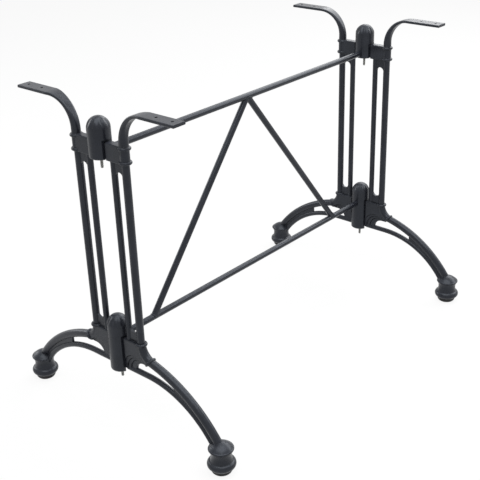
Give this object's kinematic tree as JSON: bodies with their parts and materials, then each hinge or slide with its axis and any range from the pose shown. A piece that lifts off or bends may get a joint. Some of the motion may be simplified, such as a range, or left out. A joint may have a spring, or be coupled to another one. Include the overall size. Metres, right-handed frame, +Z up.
{
  "type": "table frame",
  "caption": "Cast trestle table frame with turned feet, slim uprights, bullet-shaped hubs, curved arms ending in drilled pads for a table top, and a tube stretcher braced by a V.",
  "frame": {"origin": "on the floor, midway between the trestle ends", "axes": "+X along the stretcher, +Y across it, +Z up"},
  "size_m": [0.9454, 0.6114, 0.716],
  "materials": {
    "cast_black": "satin black powder coat on a fine-grained casting",
    "tube_black": "satin black powder coat on drawn steel tube",
    "fastener_zinc": "zinc plated",
    "glide_black": "moulded black plastic"
  },
  "bodies": {
    "root": {"leg_left_front": "cast_black", "glide_left_front": "glide_black", "leg_left_rear": "cast_black", "glide_left_rear": "glide_black", "hub_upper_left": "cast_black", "stud_upper_left": "fastener_zinc", "washer_upper_left": "fastener_zinc", "nut_upper_left": "fastener_zinc", "hub_lower_left": "cast_black", "stud_lower_left": "fastener_zinc", "washer_lower_left": "fastener_zinc", "nut_lower_left": "fastener_zinc", "leg_right_front": "cast_black", "glide_right_front": "glide_black", "leg_right_rear": "cast_black", "glide_right_rear": "glide_black", "hub_upper_right": "cast_black", "stud_upper_right": "fastener_zinc", "washer_upper_right": "fastener_zinc", "nut_upper_right": "fastener_zinc", "hub_lower_right": "cast_black", "stud_lower_right": "fastener_zinc", "washer_lower_right": "fastener_zinc", "nut_lower_right": "fastener_zinc", "rail_upper": "tube_black", "rail_lower": "tube_black", "brace_left": "tube_black", "brace_right": "tube_black"}
  },
  "joints": []
}
